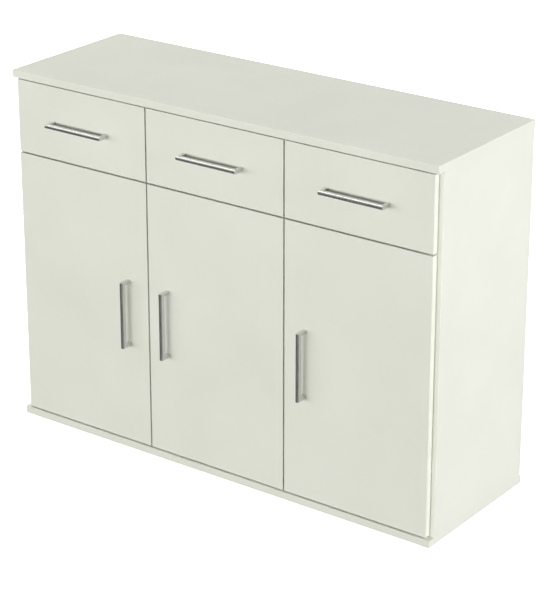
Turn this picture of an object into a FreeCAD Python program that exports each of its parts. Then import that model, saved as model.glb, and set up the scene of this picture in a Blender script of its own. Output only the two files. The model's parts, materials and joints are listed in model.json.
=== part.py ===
"""A three-bay sideboard: a row of three drawers over a row of three doors, on a flat base.

The row frame has its origin on the floor at the middle of the carcass, +X to the right,
+Z up, and the doors and drawers on the -Y side. Every board, fitting and fastener is an
object of its own, and its sizes and place are bound to the sheet of driving dimensions.
"""
import FreeCAD, Part
import os
import re

import Sketcher

# Driving dimensions in millimetres.
SIZES = {
    # carcass
    "width": 1200,
    "depth": 400,
    "height": 900,
    "deck": 18,             # thickness of the top and of the base
    "board": 16,            # thickness of sides, dividers, rails and shelves
    "hardboard": 3,         # thickness of the back panels and drawer bottoms
    "back_lip": 1,          # the top and base stand this far behind the back panels
    "back_inset": 2,        # the back panels stop this far inside the side panels
    "back_play": 0.5,       # air round each back panel
    "rail_depth": 60,
    "glide_height": 2,
    "glide_radius": 9,
    "glide_inset": 30,
    # fronts
    "face": 16,             # thickness of doors and drawer fronts
    "face_setback": 4,      # the fronts lie this far behind the edge of the top
    "face_play": 1,         # air between the fronts and the carcass
    "reveal": 12,           # strip of side panel seen beside the fronts
    "gap": 4,               # between neighbouring fronts
    "top_gap": 4,
    "base_gap": 2.5,
    "drawer_face": 180,
    # shelves and their pins
    "shelf_depth": 330,
    "shelf_level": 346,
    "shelf_play": 1,
    "shelf_setback": 15,
    "pin_radius": 2.5,
    "pin_length": 15,
    "pin_bite": 7,
    "pin_inset": 45,
    "pin_step": 64,
    # drawer boxes and their runners
    "box_board": 12,
    "box_high": 120,
    "box_long": 350,
    "box_play": 1.5,
    "box_lift": 14,         # from the cross rail up to the box
    "groove_high": 17,
    "groove_deep": 7,
    "groove_lift": 52,      # from the box's lower edge up to its runner groove
    "runner_high": 16,
    "runner_reach": 7.5,
    "runner_long": 345,
    "runner_setback": 3,
    "box_tail": 4,          # the drawer's sides run on past its back by this much
    "bottom_lift": 10,
    "bottom_slot": 3.4,     # width of the slot that holds the drawer bottom
    "bottom_bite": 5,
    "bottom_play": 0.5,
    "bottom_short": 2,      # the bottom ends this far before the sides do
    "dowel_radius": 3,
    "dowel_long": 28,
    "dowel_bite": 10,
    "dowel_inset": 30,
    "dowel_play": 1,        # air at the bottom of a dowel's hole
    # handles
    "handle_long": 168,
    "handle_pitch": 160,
    "handle_wide": 9.5,
    "handle_thick": 12,
    "handle_reach": 32,
    "handle_leg": 8,
    "handle_round": 2.8,
    "handle_inset": 57,     # from the free edge of a door to the middle of its handle
    "screw_radius": 2,
    "screw_bite": 12,       # depth of the threaded hole in each leg
    "screw_end": 2,         # the screw stops this far before the bottom of that hole
    "screw_play": 0.3,      # air round the screw in the front
    "thread_play": 0.1,
    "screw_head": 2.4,
    "screw_head_radius": 4.2,
    # hinges
    "hinge_end": 100,       # from a door's end to the nearer hinge
    "cup_radius": 17.5,
    "cup_deep": 11.5,
    "cup_inset": 23,
    "cup_play": 0.2,
    "cup_wall": 1,
    "cup_rim": 0.8,
    "cup_rim_wide": 1,
    "wing_long": 58,
    "wing_wide": 14,
    "wing_offset": 1,       # the wings start this far before the cup's middle
    "plate_thick": 2.5,
    "plate_long": 44,
    "plate_wide": 48,
    "plate_bar": 14,        # width of both bars of the cross-shaped plate
    "plate_setback": 22,
    "plate_pitch": 32,
    "plate_head": 1,
    "plate_head_radius": 3.2,
    "arm_wide": 12,
    "arm_thick": 10,
    "arm_long": 62,
    "arm_air": 3,
    "arm_bridge": 4,
    "tip_near": 18,         # nearest and farthest the arm's tip comes to the door's edge
    "tip_far": 27,
    "tip_sink": 8,
    "tip_step": 1,          # the tip is lower than the arm by this much on either side
    # carcass fittings
    "cam_radius": 7.5,
    "cam_deep": 12,
    "cam_reach": 34,        # from a panel's end to the middle of its cam
    "cam_inset": 50,
    "cam_slot_deep": 2,
    "cam_slot_long": 9,
    "cam_slot_wide": 1.4,
    "bolt_radius": 3,
    "bolt_bite": 11,
    "bolt_play": 0.5,
    "bolt_overrun": 2,      # a bolt's hole runs this far into its cam's pocket
    "bracket_wide": 20,
    "bracket_leg": 26,
    "bracket_thick": 2,
    "bracket_hole": 3,
    "nail_head_radius": 2,
    "nail_head": 0.6,
    "nail_inset": 40,
    "nail_pitch": 155,
    "nail_edge": 4,         # from the joint between two back panels to the nails beside it
}
NAILS_IN_A_COLUMN = 6

# Lengths that follow from the driving dimensions.
DERIVED = {
    "bay": "(width - 4 * board) / 3",
    "face_wide": "(width - 2 * reveal - 2 * gap) / 3",
    "side_high": "height - glide_height - 2 * deck",
    "side_deep": "depth - face_setback - face - face_play - hardboard - back_lip",
    "base_top": "glide_height + deck",
    "top_under": "height - deck",
    "door_high": "side_high - top_gap - drawer_face - gap - base_gap",
    "door_foot": "base_top + base_gap",
    "drawer_foot": "door_foot + door_high + gap",
    "face_front": "face_setback - depth / 2",
    "face_back": "face_front + face",
    "carcass_front": "face_back + face_play",
    "carcass_back": "carcass_front + side_deep",
    "rail_foot": "drawer_foot - gap / 2 - board / 2",
    "box_foot": "rail_foot + board + box_lift",
    "box_wide": "bay - 2 * box_play",
    "box_inner": "box_wide - 2 * box_board",
    "divider_left": "-bay / 2 - board",
    "handle_level": "door_foot + door_high / 2",
    "drawer_level": "drawer_foot + drawer_face / 2",
    "low_hinge": "door_foot + hinge_end",
    "high_hinge": "door_foot + door_high - hinge_end",
    "outer_back_wide": "width / 2 - back_inset - bay / 2 - board / 2 - back_play",
    "bolt_reach": "cam_reach - cam_radius",
    "bracket_hole_drop": "bracket_leg / 2 + bracket_thick / 2",
}

# Each bay's name and the middle of its opening.
BAYS = {
    "left": "-bay - board",
    "middle": "0",
    "right": "bay + board",
}
# Each front's middle: the fronts are spaced evenly on the whole width.
FACES = {
    "left": "-face_wide - gap",
    "middle": "0",
    "right": "face_wide + gap",
}
# The side on which each door hangs: -1 hangs at its left edge, 1 at its right edge.
HANGING = {"left": -1, "middle": 1, "right": 1}

# Which way a sketch on each plane faces along its axis.
NORMAL = {"XY_Plane": 1, "YZ_Plane": 1, "XZ_Plane": -1}
# A sketch's geometry starts at about this size, before its dimensions pull it into place.
ROUGH = 10
# Two lengths this near each other are the same.
NEAR = 0.01
# A pocket that removes less than this, in cubic millimetres, has missed its board.
LEAST_VOLUME = 0.1

doc = FreeCAD.newDocument("Sideboard")
sheet = doc.addObject("Spreadsheet::Sheet", "Sizes")


def fill_sheet():
    """Write the driving dimensions into the sheet, one row each."""
    for row, (alias, value) in enumerate(SIZES.items(), start=1):
        sheet.set(f"A{row}", alias)
        sheet.set(f"B{row}", str(value))
        sheet.setAlias(f"B{row}", alias)
    doc.recompute()


def bound(text):
    """Spell a length out in the sheet's own aliases."""
    def spell(match):
        word = match.group(0)
        if word in DERIVED:
            return "(" + bound(DERIVED[word]) + ")"
        return "Sizes." + word if word in SIZES else word
    return re.sub(r"[a-z_]+", spell, str(text))


def bind(item, **lengths):
    """Bind an object's properties to lengths."""
    for name, text in lengths.items():
        item.setExpression(name, bound(text))


def put(item, x="0", y="0", z="0"):
    """Bind an object's place."""
    for axis, text in zip("xyz", (x, y, z)):
        item.setExpression(f"Placement.Base.{axis}", bound(text))


# ---------------------------------------------------------------- sketched boards

def origin_plane(body, role):
    return next(plane for plane in body.Origin.OriginFeatures if plane.Role == role)


def new_sketch(body, role, level="0"):
    """A sketch on one of the body's origin planes, moved to a level along its axis."""
    sketch = body.newObject("Sketcher::SketchObject", "Sketch")
    sketch.AttachmentSupport = (origin_plane(body, role), [""])
    sketch.MapMode = "FlatFace"
    sign = "" if NORMAL[role] > 0 else "-"
    sketch.setExpression("AttachmentOffset.Base.z", f"{sign}({bound(level)})")
    return sketch


def hold(sketch, kind, *where, length):
    """Add a dimension to a sketch and bind it."""
    index = sketch.addConstraint(Sketcher.Constraint(kind, *where, float(ROUGH)))
    sketch.setExpression(f"Constraints[{index}]", bound(length))


def fix_point(sketch, item, end, x, y):
    """Hold a point of a sketch at x, y from its origin."""
    if x == "0":
        sketch.addConstraint(Sketcher.Constraint("PointOnObject", item, end, -2))
    else:
        hold(sketch, "DistanceX", -1, 1, item, end, length=x)
    if y == "0":
        sketch.addConstraint(Sketcher.Constraint("PointOnObject", item, end, -1))
    else:
        hold(sketch, "DistanceY", -1, 1, item, end, length=y)


def draw_outline(sketch, corners):
    """A closed outline of straight lines, each corner given as a pair of lengths."""
    count = len(corners)
    guess = [FreeCAD.Vector(ROUGH * (i + 1), ROUGH * (1 + i % 2), 0) for i in range(count)]
    first = sketch.GeometryCount
    for i in range(count):
        sketch.addGeometry(Part.LineSegment(guess[i], guess[(i + 1) % count]), False)
    for i in range(count):
        following = first + (i + 1) % count
        sketch.addConstraint(Sketcher.Constraint("Coincident", first + i, 2, following, 1))
    for i, (x, y) in enumerate(corners):
        fix_point(sketch, first + i, 1, x, y)


def draw_rectangle(sketch, x, y, wide, high):
    right = wide if x == "0" else f"{x} + {wide}"
    upper = high if y == "0" else f"{y} + {high}"
    draw_outline(sketch, [(x, y), (right, y), (right, upper), (x, upper)])


def draw_circle(sketch, x, y, radius):
    rough = Part.Circle(FreeCAD.Vector(ROUGH, ROUGH, 0), FreeCAD.Vector(0, 0, 1), ROUGH)
    item = sketch.addGeometry(rough, False)
    hold(sketch, "Radius", item, length=radius)
    fix_point(sketch, item, 3, x, y)


def pad(body, sketch, length):
    feature = body.newObject("PartDesign::Pad", "Pad")
    feature.Profile = sketch
    bind(feature, Length=length)
    sketch.Visibility = False
    return feature


def cut(body, sketch, role, towards, length):
    """Pocket a sketch towards +1 or -1 along its plane's axis, and make sure that it cuts."""
    doc.recompute()
    before = body.Shape.Volume
    feature = body.newObject("PartDesign::Pocket", "Pocket")
    feature.Profile = sketch
    feature.Reversed = NORMAL[role] == towards
    bind(feature, Length=length)
    doc.recompute()
    if not body.Shape.Volume < before - LEAST_VOLUME:
        raise RuntimeError(f"a pocket in {body.Label} removes nothing")
    return feature


def board(label, size, corner):
    """A rectangular board whose own origin is its lowest corner."""
    body = doc.addObject("PartDesign::Body", label)
    body.Label = label
    sketch = new_sketch(body, "XY_Plane")
    draw_rectangle(sketch, "0", "0", size[0], size[1])
    pad(body, sketch, size[2])
    put(body, *corner)
    return body


def bore(body, role, level, towards, centres, radius, deep):
    """Round holes of one size, drilled from a level of the plane's axis."""
    sketch = new_sketch(body, role, level)
    for x, y in centres:
        draw_circle(sketch, x, y, radius)
    cut(body, sketch, role, towards, deep)


def groove(body, role, level, towards, where, deep):
    """A rectangular groove given as x, y, width and height in its plane."""
    sketch = new_sketch(body, role, level)
    draw_rectangle(sketch, *where)
    cut(body, sketch, role, towards, deep)


# ---------------------------------------------------------------- plain solids

def block(size, corner):
    item = doc.addObject("Part::Box", "Block")
    bind(item, Length=size[0], Width=size[1], Height=size[2])
    put(item, *corner)
    return item


TURNS = {
    "x": FreeCAD.Rotation(FreeCAD.Vector(0, 1, 0), 90),
    "y": FreeCAD.Rotation(FreeCAD.Vector(1, 0, 0), -90),
    "z": FreeCAD.Rotation(),
}


def rod(axis, radius, length, start):
    """A cylinder that runs from its start in the axis's positive direction."""
    item = doc.addObject("Part::Cylinder", "Rod")
    item.Placement = FreeCAD.Placement(FreeCAD.Vector(), TURNS[axis])
    bind(item, Radius=radius, Height=length)
    put(item, *start)
    return item


def fuse(*pieces):
    item = doc.addObject("Part::MultiFuse", "Fuse")
    item.Shapes = list(pieces)
    item.Refine = True
    return item


def subtract(base, tool):
    item = doc.addObject("Part::Cut", "Cut")
    item.Base = base
    item.Tool = tool
    return item


def group(label, pieces):
    """Identical pieces under one name, as separate solids."""
    item = doc.addObject("Part::Compound", label)
    item.Label = label
    item.Links = pieces
    return item


# ---------------------------------------------------------------- carcass

UPRIGHTS = {
    "left_side_panel": "-width / 2",
    "left_divider": "divider_left",
    "right_divider": "bay / 2",
    "right_side_panel": "width / 2 - board",
}
FITTING_ROWS = ("cam_inset", "side_deep - cam_inset")
PIN_COLUMNS = ("pin_inset", "shelf_depth - pin_inset")
PIN_LEVELS = ("shelf_level - base_top - pin_step", "shelf_level - base_top",
              "shelf_level - base_top + pin_step")


def make_upright(label, left):
    """A side panel or divider, bored for cams, their bolts and the shelf pins."""
    body = board(label, ("board", "side_deep", "side_high"), (left, "carcass_front", "base_top"))
    # The cams are let in from the face that looks towards the middle of the carcass.
    inner_is_right = label.startswith("left")
    cam_level = "board" if inner_is_right else "0"
    cam_towards = -1 if inner_is_right else 1
    cams = [(y, z) for y in FITTING_ROWS for z in ("cam_reach", "side_high - cam_reach")]
    bore(body, "YZ_Plane", cam_level, cam_towards, cams, "cam_radius", "cam_deep")
    bolts = [("board / 2", y) for y in FITTING_ROWS]
    for level, towards in (("0", 1), ("side_high", -1)):
        bore(body, "XY_Plane", level, towards, bolts, "bolt_radius + bolt_play",
             "bolt_reach + bolt_overrun")
    pins = [(y, z) for y in PIN_COLUMNS for z in PIN_LEVELS]
    if label != "left_side_panel":
        bore(body, "YZ_Plane", "0", 1, pins, "pin_radius", "pin_bite")
    if label != "right_side_panel":
        bore(body, "YZ_Plane", "board", -1, pins, "pin_radius", "pin_bite")
    return body


def make_deck(label, foot, bored_from, towards):
    """The top or the base, drilled for the bolts of every upright."""
    body = board(label, ("width", "depth", "deck"), ("-width / 2", "-depth / 2", foot))
    row_start = "carcass_front + depth / 2"
    centres = [(f"{left} + width / 2 + board / 2", f"{row_start} + {y}")
               for left in UPRIGHTS.values() for y in FITTING_ROWS]
    bore(body, "XY_Plane", bored_from, towards, centres, "bolt_radius", "bolt_bite")
    return body


def make_cams():
    """The cam discs in the uprights and the bolts that they pull on."""
    cams = []
    bolts = []
    for label, left in UPRIGHTS.items():
        # Each disc is flush with the face that it is let in from, and slotted for a screwdriver.
        if label.startswith("left"):
            disc_start = f"{left} + board - cam_deep"
            slot_start = f"{left} + board - cam_slot_deep"
        else:
            disc_start = left
            slot_start = left
        for y in FITTING_ROWS:
            row = f"carcass_front + {y}"
            for level in ("base_top + cam_reach", "top_under - cam_reach"):
                disc = rod("x", "cam_radius", "cam_deep", (disc_start, row, level))
                slot = block(("cam_slot_deep", "cam_slot_wide", "cam_slot_long"),
                             (slot_start, f"{row} - cam_slot_wide / 2", f"{level} - cam_slot_long / 2"))
                cams.append(subtract(disc, slot))
            for foot in ("base_top - bolt_bite", "top_under - bolt_reach"):
                bolts.append(rod("z", "bolt_radius", "bolt_bite + bolt_reach",
                                 (f"{left} + board / 2", row, foot)))
    return [group("cam_locks", cams), group("cam_bolts", bolts)]


def make_back_panels():
    """Three hardboard panels that meet over the middles of the dividers."""
    places = {
        "left": ("back_inset - width / 2", "outer_back_wide"),
        "middle": ("back_play - bay / 2 - board / 2", "bay + board - 2 * back_play"),
        "right": ("bay / 2 + board / 2 + back_play", "outer_back_wide"),
    }
    bodies = []
    for name, (left, wide) in places.items():
        body = board(f"{name}_back_panel", (wide, "hardboard", "side_high - 2 * back_play"),
                     (left, "carcass_back", "base_top + back_play"))
        if name != "middle":
            hole = (f"{BAYS[name]} - ({left})", "side_high - back_play - bracket_hole_drop")
            bore(body, "XZ_Plane", "0", 1, [hole], "bracket_hole", "hardboard")
        bodies.append(body)
    return bodies


def make_nails():
    """The flat heads of the pins that hold the back panels to the uprights."""
    rows = [f"base_top + nail_inset + {i} * nail_pitch" for i in range(NAILS_IN_A_COLUMN)]
    heads = []
    for label, left in UPRIGHTS.items():
        middle = f"{left} + board / 2"
        on_joint = label.endswith("divider")
        columns = [f"{middle} {sign} nail_edge" for sign in "-+"] if on_joint else [middle]
        for x in columns:
            heads += [rod("y", "nail_head_radius", "nail_head", (x, "carcass_back + hardboard", z))
                      for z in rows]
    return group("back_panel_nails", heads)


def make_rails_and_shelves():
    pieces = []
    for name, middle in BAYS.items():
        pieces.append(board(f"{name}_cross_rail", ("bay", "rail_depth", "board"),
                            (f"{middle} - bay / 2", "carcass_front", "rail_foot")))
        pieces.append(board(f"{name}_shelf", ("bay - 2 * shelf_play", "shelf_depth", "board"),
                            (f"{middle} - bay / 2 + shelf_play", "carcass_front + shelf_setback",
                             "shelf_level + pin_radius")))
    return pieces


def make_shelf_pins():
    """Four pins under each shelf, half in the upright and half under the shelf."""
    pins = []
    for middle in BAYS.values():
        for y in PIN_COLUMNS:
            place = f"carcass_front + {y}"
            left = f"{middle} - bay / 2 - pin_bite"
            right = f"{middle} + bay / 2 - pin_length + pin_bite"
            pins.append(rod("x", "pin_radius", "pin_length", (left, place, "shelf_level")))
            pins.append(rod("x", "pin_radius", "pin_length", (right, place, "shelf_level")))
    return group("shelf_pins", pins)


def make_glides():
    """Flat glides under both ends of every upright and one under the middle of the base."""
    glides = [rod("z", "glide_radius", "glide_height", ("0", "0", "0"))]
    ends = ["glide_inset - depth / 2", "depth / 2 - glide_inset"]
    columns = ["glide_inset - width / 2", "divider_left + board / 2",
               "bay / 2 + board / 2", "width / 2 - glide_inset"]
    glides += [rod("z", "glide_radius", "glide_height", (x, y, "0")) for x in columns for y in ends]
    return group("base_glides", glides)


def make_wall_brackets():
    """Angle brackets under the top, against the back, for the screws that tie it to a wall."""
    brackets = []
    for name in ("left", "right"):
        left = f"{BAYS[name]} - bracket_wide / 2"
        upper = block(("bracket_wide", "bracket_leg", "bracket_thick"),
                      (left, "carcass_back - bracket_leg", "top_under - bracket_thick"))
        back = block(("bracket_wide", "bracket_thick", "bracket_leg"),
                     (left, "carcass_back - bracket_thick", "top_under - bracket_leg"))
        hole = rod("y", "bracket_hole", "bracket_thick",
                   (BAYS[name], "carcass_back - bracket_thick", "top_under - bracket_hole_drop"))
        brackets.append(subtract(fuse(upper, back), hole))
    return group("wall_brackets", brackets)


# ---------------------------------------------------------------- handles

def make_handle(label, upright):
    """A bow handle: a bar with a rounded face, and a leg flush with each of its ends.

    Its own origin is the middle of its foot, with the bar along X or Z and standing out to -Y.
    """
    body = doc.addObject("PartDesign::Body", label)
    body.Label = label
    plane = "YZ_Plane" if upright else "XY_Plane"
    half = "handle_long / 2"
    inner = "handle_long / 2 - handle_leg"
    reach = "handle_reach"
    under = "handle_reach - handle_thick"
    outline = [(f"-({half})", "0"), (f"-({half})", f"-({reach})"), (half, f"-({reach})"), (half, "0"),
               (inner, "0"), (inner, f"-({under})"), (f"-({inner})", f"-({under})"), (f"-({inner})", "0")]
    if upright:
        outline = [(y, x) for x, y in outline]
    sketch = new_sketch(body, plane)
    draw_outline(sketch, outline)
    bow = pad(body, sketch, "handle_wide")
    bow.Midplane = True
    doc.recompute()
    round_handle_face(body, bow, upright)
    for end in ("-handle_pitch / 2", "handle_pitch / 2"):
        sketch = new_sketch(body, "XZ_Plane", "0")
        centre = ("0", end) if upright else (end, "0")
        draw_circle(sketch, *centre, "screw_radius")
        cut(body, sketch, "XZ_Plane", -1, "screw_bite")
    return body


def round_handle_face(body, bow, upright):
    """Round the two long edges of the bar's face."""
    front = -SIZES["handle_reach"]
    chosen = []
    for number, edge in enumerate(bow.Shape.Edges, start=1):
        box = edge.BoundBox
        along = box.ZLength if upright else box.XLength
        on_face = abs(box.YMin - front) < NEAR and box.YLength < NEAR
        if on_face and along > SIZES["handle_pitch"]:
            chosen.append(f"Edge{number}")
    if len(chosen) != 2:
        raise RuntimeError(f"{body.Label} has {len(chosen)} edges to round")
    fillet = body.newObject("PartDesign::Fillet", "Fillet")
    fillet.Base = (bow, chosen)
    bind(fillet, Radius="handle_round")
    doc.recompute()


def make_handle_screws(label, points):
    """Screws through a front into the legs of its handle, with their heads inside."""
    screws = []
    for x, z in points:
        shank = rod("y", "screw_radius - thread_play", "face + screw_bite - screw_end",
                    (x, "face_front - screw_bite + screw_end", z))
        head = rod("y", "screw_head_radius", "screw_head", (x, "face_back", z))
        screws.append(fuse(shank, head))
    return group(label, screws)


# ---------------------------------------------------------------- drawers

def make_drawer(name):
    middle = BAYS[name]
    face_middle = FACES[name]
    prefix = f"{name}_drawer"
    side_left = {"left": f"{middle} - box_wide / 2", "right": f"{middle} + box_wide / 2 - box_board"}
    dowel_levels = ("dowel_inset", "box_high - dowel_inset")

    front = board(f"{prefix}_front", ("face_wide", "face", "drawer_face"),
                  (f"{face_middle} - face_wide / 2", "face_front", "drawer_foot"))
    face_start = f"({face_middle} - face_wide / 2)"
    lift = "box_foot - drawer_foot"
    screw_holes = [(f"face_wide / 2 {sign} handle_pitch / 2", "drawer_face / 2") for sign in "+-"]
    bore(front, "XZ_Plane", "0", 1, screw_holes, "screw_radius + screw_play", "face")
    dowel_holes = [(f"{left} + box_board / 2 - {face_start}", f"{lift} + {level}")
                   for left in side_left.values() for level in dowel_levels]
    bore(front, "XZ_Plane", "face", -1, dowel_holes, "dowel_radius", "dowel_bite")
    slot_start = f"{middle} - box_inner / 2 - bottom_bite - {face_start}"
    groove(front, "XZ_Plane", "face", -1,
           (slot_start, f"{lift} + bottom_lift", "box_inner + 2 * bottom_bite", "bottom_slot"),
           "bottom_bite")

    pieces = [front]
    for hand, left in side_left.items():
        side = board(f"{prefix}_{hand}_side", ("box_board", "box_long", "box_high"),
                     (left, "face_back", "box_foot"))
        outer_is_left = hand == "left"
        runner_level = "0" if outer_is_left else "box_board"
        groove(side, "YZ_Plane", runner_level, 1 if outer_is_left else -1,
               ("0", "groove_lift", "box_long", "groove_high"), "groove_deep")
        bottom_level = "box_board" if outer_is_left else "0"
        groove(side, "YZ_Plane", bottom_level, -1 if outer_is_left else 1,
               ("0", "bottom_lift", "box_long", "bottom_slot"), "bottom_bite")
        holes = [("box_board / 2", level) for level in dowel_levels]
        bore(side, "XZ_Plane", "0", 1, holes, "dowel_radius", "dowel_long - dowel_bite + dowel_play")
        pieces.append(side)

    back_lift = "bottom_lift + bottom_slot"
    pieces.append(board(f"{prefix}_back", ("box_inner", "box_board", f"box_high - ({back_lift})"),
                        (f"{middle} - box_inner / 2", "face_back + box_long - box_board - box_tail",
                         f"box_foot + {back_lift}")))
    bottom_size = ("box_inner + 2 * bottom_bite - 2 * bottom_play",
                   "box_long + bottom_bite - bottom_play - bottom_short", "hardboard")
    pieces.append(board(f"{prefix}_bottom", bottom_size,
                        (f"{middle} - box_inner / 2 - bottom_bite + bottom_play",
                         "face_back - bottom_bite + bottom_play",
                         "box_foot + bottom_lift + (bottom_slot - hardboard) / 2")))
    dowels = [rod("y", "dowel_radius", "dowel_long",
                  (f"{left} + box_board / 2", "face_back - dowel_bite", f"box_foot + {level}"))
              for left in side_left.values() for level in dowel_levels]
    pieces.append(group(f"{prefix}_dowels", dowels))

    handle = make_handle(f"{prefix}_handle", upright=False)
    put(handle, face_middle, "face_front", "drawer_level")
    pieces.append(handle)
    points = [(f"{face_middle} {sign} handle_pitch / 2", "drawer_level") for sign in "+-"]
    pieces.append(make_handle_screws(f"{prefix}_handle_screws", points))
    return pieces


def make_runners():
    """Moulded rails on the uprights that the grooves in the drawer sides slide on."""
    runners = []
    level = "box_foot + groove_lift + (groove_high - runner_high) / 2"
    for middle in BAYS.values():
        for left in (f"{middle} - bay / 2", f"{middle} + bay / 2 - runner_reach"):
            runners.append(block(("runner_reach", "runner_long", "runner_high"),
                                 (left, "carcass_front + runner_setback", level)))
    return group("drawer_runners", runners)


# ---------------------------------------------------------------- doors

def door_edge(name):
    """The X of the edge that a door hangs on."""
    return f"{FACES[name]} + {HANGING[name]} * face_wide / 2"


def make_door(name):
    hang = HANGING[name]
    face_middle = FACES[name]
    body = board(f"{name}_door_panel", ("face_wide", "face", "door_high"),
                 (f"{face_middle} - face_wide / 2", "face_front", "door_foot"))
    across = "cup_inset" if hang < 0 else "face_wide - cup_inset"
    cups = [(across, "hinge_end"), (across, "door_high - hinge_end")]
    bore(body, "XZ_Plane", "face", -1, cups, "cup_radius", "cup_deep + cup_play")
    handle_across = "face_wide - handle_inset" if hang < 0 else "handle_inset"
    screws = [(handle_across, f"door_high / 2 {sign} handle_pitch / 2") for sign in "+-"]
    bore(body, "XZ_Plane", "0", 1, screws, "screw_radius + screw_play", "face")

    handle_x = f"{face_middle} - face_wide / 2 + {handle_across}"
    handle = make_handle(f"{name}_door_handle", upright=True)
    put(handle, handle_x, "face_front", "handle_level")
    points = [(handle_x, f"handle_level {sign} handle_pitch / 2") for sign in "+-"]
    screw_group = make_handle_screws(f"{name}_door_handle_screws", points)

    inward = -hang
    middle = f"{door_edge(name)} + {inward} * cup_inset"
    cups = [make_cup(middle, inward, level) for level in ("low_hinge", "high_hinge")]
    return [body, handle, screw_group, group(f"{name}_door_hinge_cups", cups)]


def make_cup(middle, inward, level):
    """A pressed cup let into the door, with a rim and two wings on the door's back."""
    bowl = rod("y", "cup_radius", "cup_deep", (middle, "face_back - cup_deep", level))
    rim = rod("y", "cup_radius + cup_rim_wide", "cup_rim", (middle, "face_back", level))
    wing_left = f"{middle} - wing_offset" if inward > 0 else f"{middle} + wing_offset - wing_wide"
    wings = block(("wing_wide", "cup_rim", "wing_long"),
                  (wing_left, "face_back", f"{level} - wing_long / 2"))
    hollow = rod("y", "cup_radius - cup_wall", "cup_deep + cup_rim",
                 (middle, "face_back - cup_deep + cup_wall", level))
    return subtract(fuse(bowl, rim, wings), hollow)


def make_hinge_plates_and_arms():
    """The cross-shaped plates on the uprights and the cranked arms clipped on to them."""
    plates = []
    arms = []
    for name, hang in HANGING.items():
        wall = f"{BAYS[name]} + {hang} * bay / 2"
        inward = -hang

        def from_wall(start, size, wall=wall, inward=inward):
            return f"{wall} + {start}" if inward > 0 else f"{wall} - ({start}) - ({size})"

        def from_edge(start, size, edge=door_edge(name), inward=inward):
            return f"{edge} + {start}" if inward > 0 else f"{edge} - ({start}) - ({size})"

        for level in ("low_hinge", "high_hinge"):
            plate_start = "carcass_front + plate_setback"
            plate_middle = f"{plate_start} + plate_long / 2"
            bar = block(("plate_thick", "plate_long", "plate_bar"),
                        (from_wall("0", "plate_thick"), plate_start, f"{level} - plate_bar / 2"))
            wing = block(("plate_thick", "plate_bar", "plate_wide"),
                         (from_wall("0", "plate_thick"), f"{plate_middle} - plate_bar / 2",
                          f"{level} - plate_wide / 2"))
            screws = [rod("x", "plate_head_radius", "plate_thick + plate_head",
                          (from_wall("0", "plate_thick + plate_head"), plate_middle,
                           f"{level} {sign} plate_pitch / 2"))
                      for sign in "+-"]
            plates.append(fuse(bar, wing, *screws))

            foot = "face_back + arm_air"
            beam = block(("arm_thick", "arm_long", "arm_wide"),
                         (from_wall("plate_thick", "arm_thick"), foot, f"{level} - arm_wide / 2"))
            span = f"tip_far - abs({wall} - ({door_edge(name)})) - plate_thick"
            bridge = block((span, "arm_bridge", "arm_wide"),
                           (from_wall("plate_thick", span), foot, f"{level} - arm_wide / 2"))
            tip_wide = "tip_far - tip_near"
            tip = block((tip_wide, "tip_sink + arm_air + arm_bridge", "arm_wide - 2 * tip_step"),
                        (from_edge("tip_near", tip_wide), "face_back - tip_sink",
                         f"{level} - arm_wide / 2 + tip_step"))
            arms.append(fuse(beam, bridge, tip))
    return [group("hinge_plates", plates), group("hinge_arms", arms)]


# ---------------------------------------------------------------- the whole object

def make_all():
    fill_sheet()
    pieces = [make_upright(label, left) for label, left in UPRIGHTS.items()]
    pieces.append(make_deck("top_panel", "top_under", "0", 1))
    pieces.append(make_deck("base_panel", "glide_height", "deck", -1))
    pieces += make_cams()
    pieces += make_back_panels()
    pieces.append(make_nails())
    pieces += make_rails_and_shelves()
    pieces.append(make_shelf_pins())
    pieces.append(make_glides())
    pieces.append(make_wall_brackets())
    pieces.append(make_runners())
    for name in BAYS:
        pieces += make_drawer(name)
    for name in BAYS:
        pieces += make_door(name)
    pieces += make_hinge_plates_and_arms()
    return pieces


def check_and_export(pieces):
    """Stop on any failed object or bad shape, then write one file for each piece."""
    doc.recompute()
    for item in doc.Objects:
        if "Invalid" in item.State or "Error" in item.State:
            raise RuntimeError(f"{item.Label} failed: {item.State}")
    for item in pieces:
        if item.Shape.isNull() or not item.Shape.isValid():
            raise RuntimeError(f"{item.Label} has no valid shape")
    os.makedirs("parts", exist_ok=True)
    for item in pieces:
        item.Shape.exportStep(f"parts/{item.Label}.step")
    print(len(pieces), "pieces written")


check_and_export(make_all())
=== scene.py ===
"""The looks of the sideboard: satin off-white boards, brushed metal handles and its fittings."""
import json
import math

import bmesh
import bpy
from mathutils import Matrix, Vector


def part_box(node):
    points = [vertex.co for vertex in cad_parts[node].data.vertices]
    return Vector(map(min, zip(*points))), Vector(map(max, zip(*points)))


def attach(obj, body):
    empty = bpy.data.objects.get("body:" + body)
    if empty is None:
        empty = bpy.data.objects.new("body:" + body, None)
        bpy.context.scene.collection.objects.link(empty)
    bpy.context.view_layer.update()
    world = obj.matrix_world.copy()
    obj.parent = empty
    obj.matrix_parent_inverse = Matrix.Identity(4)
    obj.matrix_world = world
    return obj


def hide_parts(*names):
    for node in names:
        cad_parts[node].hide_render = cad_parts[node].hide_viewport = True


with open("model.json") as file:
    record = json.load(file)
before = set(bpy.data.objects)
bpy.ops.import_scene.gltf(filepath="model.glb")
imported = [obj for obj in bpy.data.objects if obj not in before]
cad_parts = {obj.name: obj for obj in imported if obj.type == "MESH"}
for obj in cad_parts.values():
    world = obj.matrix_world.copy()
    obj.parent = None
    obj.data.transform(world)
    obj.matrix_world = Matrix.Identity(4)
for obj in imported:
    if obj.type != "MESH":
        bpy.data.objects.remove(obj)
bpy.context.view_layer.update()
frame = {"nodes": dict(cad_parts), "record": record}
NODES = frame["nodes"]
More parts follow.
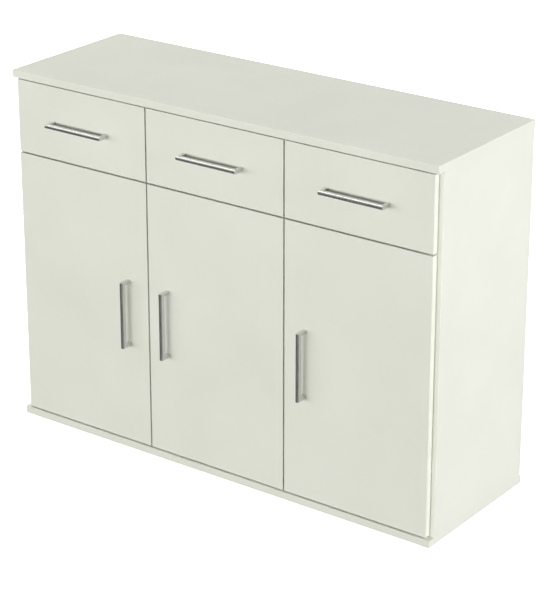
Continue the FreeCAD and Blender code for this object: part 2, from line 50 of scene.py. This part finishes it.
BODY_OF = {node: body
           for body, members in frame["record"]["behaviour"]["bodies"].items()
           for node in members}
BAYS = ("left", "middle", "right")

MM = 0.001
BOARD_ROUND = 0.7 * MM        # radius of the edging's corners
DRAWER_ROUND = 0.5 * MM       # the same, on the thinner boards of the drawer boxes
HARDBOARD_ROUND = 0.3 * MM
FITTING_ROUND = 0.25 * MM
ROUND_SEGMENTS = 3            # steps round an eased edge of a board or a handle
SMALL_SEGMENTS = 2            # the same on hardboard and fittings

HANDLE_ROUND = 0.4 * MM
HANDLE_THICK = 12 * MM        # from the middle of the face to the back of the bar
HANDLE_LEG = 8 * MM           # each leg's length along the bar
HANDLE_CROWN = 2.6 * MM       # how far the middle of a handle's face stands before its edges
HANDLE_BOW = 0.82             # the crown's section: a parabola near 0, half an ellipse at 1
HANDLE_STEPS = 20             # strips across the crown

SAME_POINT = 0.002 * MM       # points this close are one point
ON_PLANE = 0.01 * MM          # a point this close to a plane lies on it
SAME_PLANE_DEGREES = 0.5      # faces that turn by less are one flat face
CORNER_DEGREES = 50           # an edge that turns by more is a corner to be eased
CROWN_CORNER_DEGREES = 30     # the same on a handle, whose crown meets its sides less squarely
CREASE_DEGREES = 35           # an edge that turns by more is shaded as a crease
FACES_THE_AXIS = 0.7          # share of a face's normal along an axis when it looks that way
FACES_INSIDE = -0.3           # a back panel's painted side looks forwards, towards -Y

GRAIN_STRETCH = 0.006         # brushed grain's scale along its strokes, as a share of that across
NOISE_USUAL = (0.3, 0.7)      # the values that a noise texture mostly keeps between

# Brightness of the studio round the object. Below the horizon it rises from left to right.
SKY = 0.05
GROUND_LEFT = 0.17
GROUND_RIGHT = 0.34
GROUND_BLEND = (0.15, 0.6)    # where along X the left's brightness becomes the right's
HORIZON_BLEND = (-0.03, 0.03)

# The floor and the dome.
FLOOR_SIZE = 16
FLOOR_DROP = 0.2 * MM         # keeps the floor clear of the glides
FLOOR_GLOW = 0.9
DOME_RADIUS = 29

# The softboxes.
LIGHT_DISTANCE = 9
LIGHT_AIM = Vector((0, 0, 0.45))
COOL_WHITE = (0.98, 0.975, 1)

# The camera: degrees and metres.
LENS = 134.5
SENSOR_WIDTH = 36
SHIFT_Y = -0.12
CLIP_END = 200
CAMERA_AZIMUTH = 36.25
CAMERA_ELEVATION = 20.55
CAMERA_AIM = Vector((-0.009, 0.042, 0.555))
CAMERA_DISTANCE = 5.31

# Linear colours.
OFF_WHITE = (0.760, 0.775, 0.685, 1)
OFF_WHITE_DEEP = (0.735, 0.750, 0.658, 1)
HARDBOARD_PALE = (0.36, 0.235, 0.135, 1)
HARDBOARD_DARK = (0.235, 0.140, 0.072, 1)
BRUSHED = (0.70, 0.70, 0.68, 1)
NICKEL = (0.60, 0.59, 0.56, 1)
ZINC = (0.50, 0.51, 0.52, 1)
STEEL = (0.42, 0.42, 0.43, 1)
RUNNER_WHITE = (0.66, 0.66, 0.62, 1)
GLIDE_WHITE = (0.58, 0.58, 0.55, 1)
BEECH_PALE = (0.52, 0.36, 0.21, 1)
BEECH_DARK = (0.38, 0.24, 0.13, 1)
FLOOR_PALE = (0.80, 0.80, 0.80, 1)
FLOOR_GREY = (0.78, 0.78, 0.78, 1)
WHITE = (1, 1, 1, 1)
BLACK = (0, 0, 0, 1)


# ---------------------------------------------------------------- materials

def darker(colour, share):
    """The colour at a share of its brightness."""
    return tuple(share * c for c in colour[:3]) + (1,)


class Nodes:
    """A material's node tree, with short ways to add to it."""

    def __init__(self, name):
        self.material = bpy.data.materials.new(name)
        self.material.use_nodes = True
        self.tree = self.material.node_tree
        self.shader = self.tree.nodes["Principled BSDF"]
        self.place = self.add("ShaderNodeTexCoord").outputs["Object"]

    def add(self, kind):
        return self.tree.nodes.new(kind)

    def link(self, start, end):
        self.tree.links.new(start, end)

    def set(self, **values):
        """Set constants on the shader's own sockets."""
        for name, value in values.items():
            self.shader.inputs[name.replace("_", " ")].default_value = value

    def noise(self, scale, detail=2.0, stretch=(1, 1, 1)):
        """Noise of a scale per metre, stretched along the object's axes."""
        mapping = self.add("ShaderNodeMapping")
        mapping.inputs["Scale"].default_value = stretch
        self.link(self.place, mapping.inputs["Vector"])
        texture = self.add("ShaderNodeTexNoise")
        texture.inputs["Scale"].default_value = scale
        texture.inputs["Detail"].default_value = detail
        self.link(mapping.outputs["Vector"], texture.inputs["Vector"])
        return texture.outputs["Fac"]

    def ramp(self, factor, low, high, start=0.35, end=0.65):
        """A blend from one colour to another as the factor goes from start to end."""
        node = self.add("ShaderNodeValToRGB")
        node.color_ramp.elements[0].position = start
        node.color_ramp.elements[0].color = low
        node.color_ramp.elements[1].position = end
        node.color_ramp.elements[1].color = high
        self.link(factor, node.inputs["Fac"])
        return node.outputs["Color"]

    def range(self, factor, low, high):
        """A number from low to high as the noise goes through its usual values."""
        node = self.add("ShaderNodeMapRange")
        node.inputs["From Min"].default_value, node.inputs["From Max"].default_value = NOISE_USUAL
        node.inputs["To Min"].default_value = low
        node.inputs["To Max"].default_value = high
        self.link(factor, node.inputs["Value"])
        return node.outputs["Result"]

    def bump(self, height, strength, distance, normal=None):
        """Relief of a depth in metres, on top of another relief if one is given."""
        node = self.add("ShaderNodeBump")
        node.inputs["Strength"].default_value = strength
        node.inputs["Distance"].default_value = distance
        self.link(height, node.inputs["Height"])
        if normal:
            self.link(normal, node.inputs["Normal"])
        return node.outputs["Normal"]

    def feed(self, **sources):
        """Link nodes to the shader's own sockets."""
        for name, source in sources.items():
            self.link(source, self.shader.inputs[name.replace("_", " ")])


def melamine(name, base, deep, roughness):
    """Satin melamine foil: faint clouding, a fine pearl grain and slightly uneven gloss."""
    m = Nodes(name)
    m.feed(Base_Color=m.ramp(m.noise(scale=5, detail=3), deep, base))
    m.feed(Roughness=m.range(m.noise(scale=60, detail=3), roughness - 0.03, roughness + 0.04))
    m.set(IOR=1.5)
    pearl = m.bump(m.noise(scale=950), strength=0.10, distance=0.05 * MM)
    m.feed(Normal=m.bump(m.noise(scale=9), strength=0.12, distance=0.6 * MM, normal=pearl))
    return m.material


def hardboard():
    """The bare back of a hardboard panel: pressed brown fibre with a screen-like grain."""
    m = Nodes("hardboard_bare")
    fibre = m.noise(scale=420, detail=6)
    m.feed(Base_Color=m.ramp(fibre, HARDBOARD_DARK, HARDBOARD_PALE, start=0.28, end=0.72))
    m.feed(Roughness=m.range(m.noise(scale=45, detail=4), 0.62, 0.82))
    m.feed(Normal=m.bump(m.noise(scale=800, detail=4), strength=0.35, distance=0.12 * MM))
    return m.material


def brushed(name, colour, roughness, along):
    """Brushed metal, its grain along one axis: 0 for X, 1 for Y, 2 for Z."""
    m = Nodes(name)
    stretch = [1.0, 1.0, 1.0]
    stretch[along] = GRAIN_STRETCH
    grain = m.noise(scale=2600, detail=3, stretch=stretch)
    m.feed(Base_Color=m.ramp(grain, darker(colour, 0.86), colour, start=0.3, end=0.7))
    m.feed(Roughness=m.range(grain, roughness - 0.05, roughness + 0.07))
    m.set(Metallic=1.0, Anisotropic=0.5)
    m.feed(Normal=m.bump(grain, strength=0.14, distance=0.03 * MM))
    return m.material


def plated(name, colour, roughness):
    """Pressed or cast metal with a thin plating: even colour, soft mottling of its gloss."""
    m = Nodes(name)
    m.feed(Base_Color=m.ramp(m.noise(scale=260, detail=4), darker(colour, 0.88), colour))
    m.feed(Roughness=m.range(m.noise(scale=700, detail=3), roughness - 0.06, roughness + 0.08))
    m.set(Metallic=1.0)
    m.feed(Normal=m.bump(m.noise(scale=1500), strength=0.15, distance=0.03 * MM))
    return m.material


def moulded(name, colour):
    """Injection-moulded plastic with a light spark texture."""
    m = Nodes(name)
    m.feed(Base_Color=m.ramp(m.noise(scale=80, detail=3), darker(colour, 0.93), colour))
    m.feed(Roughness=m.range(m.noise(scale=300), 0.42, 0.55))
    m.set(IOR=1.46)
    m.feed(Normal=m.bump(m.noise(scale=1400, detail=3), strength=0.2, distance=0.05 * MM))
    return m.material


def beech():
    """Turned beech, its grain along Y."""
    m = Nodes("beech")
    grain = m.noise(scale=900, detail=5, stretch=(1, 0.05, 1))
    m.feed(Base_Color=m.ramp(grain, BEECH_DARK, BEECH_PALE))
    m.feed(Roughness=m.range(m.noise(scale=500, detail=3), 0.55, 0.7))
    pores = m.noise(scale=1300, detail=4, stretch=(1, 0.06, 1))
    m.feed(Normal=m.bump(pores, strength=0.3, distance=0.06 * MM))
    return m.material


MATERIALS = {
    "board": melamine("board_foil", OFF_WHITE, OFF_WHITE_DEEP, 0.42),
    "front": melamine("front_foil", OFF_WHITE, OFF_WHITE_DEEP, 0.40),
    "edging": melamine("edging", OFF_WHITE, OFF_WHITE_DEEP, 0.36),
    "painted": melamine("hardboard_painted", OFF_WHITE_DEEP, OFF_WHITE_DEEP, 0.55),
    "bare": hardboard(),
    "handle_level": brushed("handle_brushed_level", BRUSHED, 0.24, 0),
    "handle_upright": brushed("handle_brushed_upright", BRUSHED, 0.24, 2),
    "hinge": plated("hinge_nickel", NICKEL, 0.28),
    "zinc": plated("zinc_plated", ZINC, 0.33),
    "cast": plated("cam_cast", STEEL, 0.42),
    "steel": plated("nail_steel", STEEL, 0.35),
    "runner": moulded("runner_plastic", RUNNER_WHITE),
    "glide": moulded("glide_plastic", GLIDE_WHITE),
    "beech": beech(),
}


# ---------------------------------------------------------------- shapes

def clean_copy(node):
    """The node's own surface with its duplicate points joined and its flat faces whole."""
    shape = bmesh.new()
    shape.from_mesh(NODES[node].data)
    bmesh.ops.remove_doubles(shape, verts=shape.verts, dist=SAME_POINT)
    flatten(shape)
    return shape


def flatten(shape):
    """Join the faces that lie in one plane."""
    bmesh.ops.dissolve_limit(shape, angle_limit=math.radians(SAME_PLANE_DEGREES),
                             verts=shape.verts, edges=shape.edges)


def round_edges(shape, edges, radius, segments):
    bmesh.ops.bevel(shape, geom=edges, offset=radius, offset_type="OFFSET", segments=segments,
                    profile=0.5, affect="EDGES", clamp_overlap=True)


def sharp_edges(shape, angle=CORNER_DEGREES):
    limit = math.radians(angle)
    return [e for e in shape.edges if len(e.link_faces) == 2 and e.calc_face_angle(0) > limit]


def finish_piece(shape, name, node, materials, choose=None):
    """Make an object of a shape that stands for a CAD node and rides on its body."""
    for face in shape.faces:
        face.smooth = True
        face.material_index = choose(face) if choose else 0
    mesh = bpy.data.meshes.new(name)
    shape.to_mesh(mesh)
    shape.free()
    for material in materials:
        mesh.materials.append(material)
    mesh.set_sharp_from_angle(angle=math.radians(CREASE_DEGREES))
    piece = bpy.data.objects.new(name, mesh)
    bpy.context.scene.collection.objects.link(piece)
    weighted = piece.modifiers.new("even_shading", "WEIGHTED_NORMAL")
    weighted.keep_sharp = True
    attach(piece, BODY_OF[node])
    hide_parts(node)
    return piece


def edged_board(node, faces, edging, radius=BOARD_ROUND, butts=()):
    """A board with its corners eased; its narrow sides carry the edging.

    butts are the heights at which it meets another board face to face: its edges stay sharp
    there, so that no groove shows in the joint."""
    low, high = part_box(node)
    thin = min(range(3), key=lambda axis: high[axis] - low[axis])
    shape = clean_copy(node)
    outer = [e for e in sharp_edges(shape) if on_outside(e, low, high) and not at_height(e, butts)]
    round_edges(shape, outer, radius, ROUND_SEGMENTS)

    def choose(face):
        return 0 if abs(face.normal[thin]) > FACES_THE_AXIS else 1

    return finish_piece(shape, node + "_board", node, [faces, edging], choose)


def on_outside(edge, low, high):
    """True for the twelve outer edges of a box, and their parts."""
    def touches(point):
        gaps = (min(abs(point[i] - low[i]), abs(point[i] - high[i])) for i in range(3))
        return sum(gap < ON_PLANE for gap in gaps) >= 2
    return all(touches(v.co) for v in edge.verts)


def at_height(edge, heights):
    """True for a level edge that lies at one of the heights."""
    return any(all(abs(v.co.z - height) < ON_PLANE for v in edge.verts) for height in heights)


def back_panel(node):
    """Hardboard: painted inside, bare on the wall side."""
    low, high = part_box(node)
    shape = clean_copy(node)
    outer = [e for e in sharp_edges(shape) if on_outside(e, low, high)]
    round_edges(shape, outer, HARDBOARD_ROUND, SMALL_SEGMENTS)

    def choose(face):
        return 0 if face.normal.y < FACES_INSIDE else 1

    return finish_piece(shape, node + "_sheet", node, [MATERIALS["painted"], MATERIALS["bare"]], choose)


def fitting(node, material):
    """A small fitting of metal, plastic or wood with its edges broken."""
    shape = clean_copy(node)
    round_edges(shape, sharp_edges(shape), FITTING_ROUND, SMALL_SEGMENTS)
    return finish_piece(shape, node + "_piece", node, [material])


def handle(node, upright):
    """A bow handle: a bar with a crowned face and legs flush with its ends.

    Its outline, seen from the side, is a U. The same outline is repeated across the bar, and
    its front stands back from the middle of the face as the crown falls."""
    low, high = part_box(node)
    long_axis = 2 if upright else 0
    wide_axis = 0 if upright else 2
    first, last = low[long_axis], high[long_axis]
    inner = low.y + HANDLE_THICK
    half = (high[wide_axis] - low[wide_axis]) / 2
    middle = (high[wide_axis] + low[wide_axis]) / 2
    shape = bmesh.new()
    rows = []
    for step in range(HANDLE_STEPS + 1):
        across = -1 + 2 * step / HANDLE_STEPS
        fall = (1 - math.sqrt(1 - HANDLE_BOW * across * across)) / (1 - math.sqrt(1 - HANDLE_BOW))
        front = low.y + HANDLE_CROWN * fall
        outline = ((first, high.y), (first, front), (last, front), (last, high.y),
                   (last - HANDLE_LEG, high.y), (last - HANDLE_LEG, inner),
                   (first + HANDLE_LEG, inner), (first + HANDLE_LEG, high.y))
        row = []
        for along, out in outline:
            point = Vector((0, out, 0))
            point[long_axis] = along
            point[wide_axis] = middle + half * across
            row.append(shape.verts.new(point))
        rows.append(row)
    count = len(rows[0])
    shape.faces.new(rows[0])
    shape.faces.new(reversed(rows[-1]))
    for here, there in zip(rows, rows[1:]):
        for i in range(count):
            following = (i + 1) % count
            shape.faces.new((here[following], here[i], there[i], there[following]))
    bmesh.ops.recalc_face_normals(shape, faces=shape.faces)
    flatten(shape)
    round_edges(shape, sharp_edges(shape, CROWN_CORNER_DEGREES), HANDLE_ROUND, ROUND_SEGMENTS)
    material = MATERIALS["handle_upright" if upright else "handle_level"]
    return finish_piece(shape, node + "_bow", node, [material])


def dress_the_carcass():
    joints = (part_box("base_panel")[1].z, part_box("top_panel")[0].z)
    for node in ("top_panel", "base_panel", "left_side_panel", "right_side_panel",
                 "left_divider", "right_divider"):
        edged_board(node, MATERIALS["board"], MATERIALS["edging"], butts=joints)
    for bay in BAYS:
        edged_board(f"{bay}_cross_rail", MATERIALS["board"], MATERIALS["edging"])
        edged_board(f"{bay}_shelf", MATERIALS["board"], MATERIALS["edging"])
        back_panel(f"{bay}_back_panel")
    for node, material in (("cam_locks", "cast"), ("cam_bolts", "zinc"), ("shelf_pins", "hinge"),
                           ("hinge_plates", "hinge"), ("hinge_arms", "hinge"),
                           ("wall_brackets", "zinc"), ("drawer_runners", "runner"),
                           ("base_glides", "glide"), ("back_panel_nails", "steel")):
        fitting(node, MATERIALS[material])


def dress_the_drawers():
    for bay in BAYS:
        edged_board(f"{bay}_drawer_front", MATERIALS["front"], MATERIALS["edging"])
        for part in ("left_side", "right_side", "back"):
            edged_board(f"{bay}_drawer_{part}", MATERIALS["board"], MATERIALS["edging"], DRAWER_ROUND)
        edged_board(f"{bay}_drawer_bottom", MATERIALS["painted"], MATERIALS["painted"], HARDBOARD_ROUND)
        fitting(f"{bay}_drawer_dowels", MATERIALS["beech"])
        handle(f"{bay}_drawer_handle", upright=False)
        fitting(f"{bay}_drawer_handle_screws", MATERIALS["zinc"])


def dress_the_doors():
    for bay in BAYS:
        edged_board(f"{bay}_door_panel", MATERIALS["front"], MATERIALS["edging"])
        handle(f"{bay}_door_handle", upright=True)
        fitting(f"{bay}_door_handle_screws", MATERIALS["zinc"])
        fitting(f"{bay}_door_hinge_cups", MATERIALS["hinge"])


# ---------------------------------------------------------------- the studio

def make_floor():
    """A wide pale floor inside a white dome. Neither adds light of its own to the object."""
    bpy.ops.mesh.primitive_plane_add(size=FLOOR_SIZE, location=(0, 0, -FLOOR_DROP))
    floor = bpy.context.object
    floor.name = "floor"
    m = Nodes("floor_white")
    m.feed(Base_Color=m.ramp(m.noise(scale=0.8, detail=3), FLOOR_GREY, FLOOR_PALE))
    m.set(Roughness=0.9, Emission_Color=WHITE, Emission_Strength=FLOOR_GLOW)
    floor.data.materials.append(m.material)
    bpy.ops.mesh.primitive_uv_sphere_add(segments=48, ring_count=24, radius=DOME_RADIUS)
    dome = bpy.context.object
    dome.name = "dome"
    m = Nodes("dome_white")
    m.set(Base_Color=BLACK, Roughness=1.0, Emission_Color=WHITE, Emission_Strength=1.0)
    dome.data.materials.append(m.material)
    dome.visible_shadow = False
    for stage in (floor, dome):
        stage.visible_diffuse = False
        stage.visible_glossy = False


def softbox(name, azimuth, elevation, size, level, colour=(1, 1, 1)):
    """A rectangular light that looks at the object's middle; azimuth 0 is straight in front.

    level is how bright it makes a white card that faces it."""
    turn, rise = math.radians(azimuth), math.radians(elevation)
    away = Vector((math.sin(turn) * math.cos(rise), -math.cos(turn) * math.cos(rise), math.sin(rise)))
    data = bpy.data.lights.new(name, "AREA")
    data.shape = "RECTANGLE"
    data.size, data.size_y = size
    data.energy = level * (math.pi * LIGHT_DISTANCE) ** 2
    data.color = colour
    light = bpy.data.objects.new(name, data)
    light.location = LIGHT_AIM + away * LIGHT_DISTANCE
    light.rotation_euler = away.to_track_quat("Z", "Y").to_euler()
    bpy.context.scene.collection.objects.link(light)
    return light


def make_light():
    """A dim studio, palest low on the right, and the softboxes all round it."""
    world = bpy.data.worlds.new("studio")
    world.use_nodes = True
    tree = world.node_tree
    parts = tree.nodes.new("ShaderNodeSeparateXYZ")
    tree.links.new(tree.nodes.new("ShaderNodeTexCoord").outputs["Generated"], parts.inputs["Vector"])

    def blend(factor, start, end, low, high):
        node = tree.nodes.new("ShaderNodeMapRange")
        node.interpolation_type = "SMOOTHSTEP"
        for name, value in (("From Min", start), ("From Max", end), ("To Min", low), ("To Max", high)):
            if isinstance(value, bpy.types.NodeSocket):
                tree.links.new(value, node.inputs[name])
            else:
                node.inputs[name].default_value = value
        tree.links.new(factor, node.inputs["Value"])
        return node.outputs["Result"]

    ground = blend(parts.outputs["X"], *GROUND_BLEND, GROUND_LEFT, GROUND_RIGHT)
    brightness = blend(parts.outputs["Z"], *HORIZON_BLEND, ground, SKY)
    tree.links.new(brightness, tree.nodes["Background"].inputs["Color"])
    bpy.context.scene.world = world

    # Name, azimuth, elevation, size, level, colour. The first three light the fronts and cast
    # the handles' shadows. left_near, left_far and right_side don't show in reflections, and
    # left_high shows in nothing else.
    softbox("front", 8, 9, (3.6, 2.4), 0.44)
    softbox("left_near", -12, 9, (3.0, 2.4), 0.26).visible_glossy = False
    softbox("left_far", -40, 9, (5.5, 2.4), 0.19).visible_glossy = False
    softbox("left_high", -64, 36, (9, 8), 0.33).visible_diffuse = False
    softbox("right_side", 92, 10, (5, 5), 1.07, COOL_WHITE).visible_glossy = False
    softbox("left_side", -100, 15, (5, 5), 0.20)
    softbox("behind", 180, 20, (5, 5), 0.60)
    softbox("overhead", -110, 66, (5, 5), 0.57)


def make_camera():
    """The camera stands high to the right and looks a little down."""
    data = bpy.data.cameras.new("camera")
    data.lens = LENS
    data.sensor_width = SENSOR_WIDTH
    data.shift_y = SHIFT_Y
    data.clip_end = CLIP_END
    camera = bpy.data.objects.new("camera", data)
    azimuth, elevation = math.radians(CAMERA_AZIMUTH), math.radians(CAMERA_ELEVATION)
    turn = Matrix.Rotation(azimuth, 4, "Z") @ Matrix.Rotation(math.pi / 2 - elevation, 4, "X")
    back = Matrix.Translation((0, 0, CAMERA_DISTANCE))
    camera.matrix_world = Matrix.Translation(CAMERA_AIM) @ turn @ back
    bpy.context.scene.collection.objects.link(camera)
    bpy.context.scene.camera = camera


dress_the_carcass()
dress_the_drawers()
dress_the_doors()
make_floor()
make_light()
make_camera()
bpy.context.scene.view_settings.view_transform = "Standard"
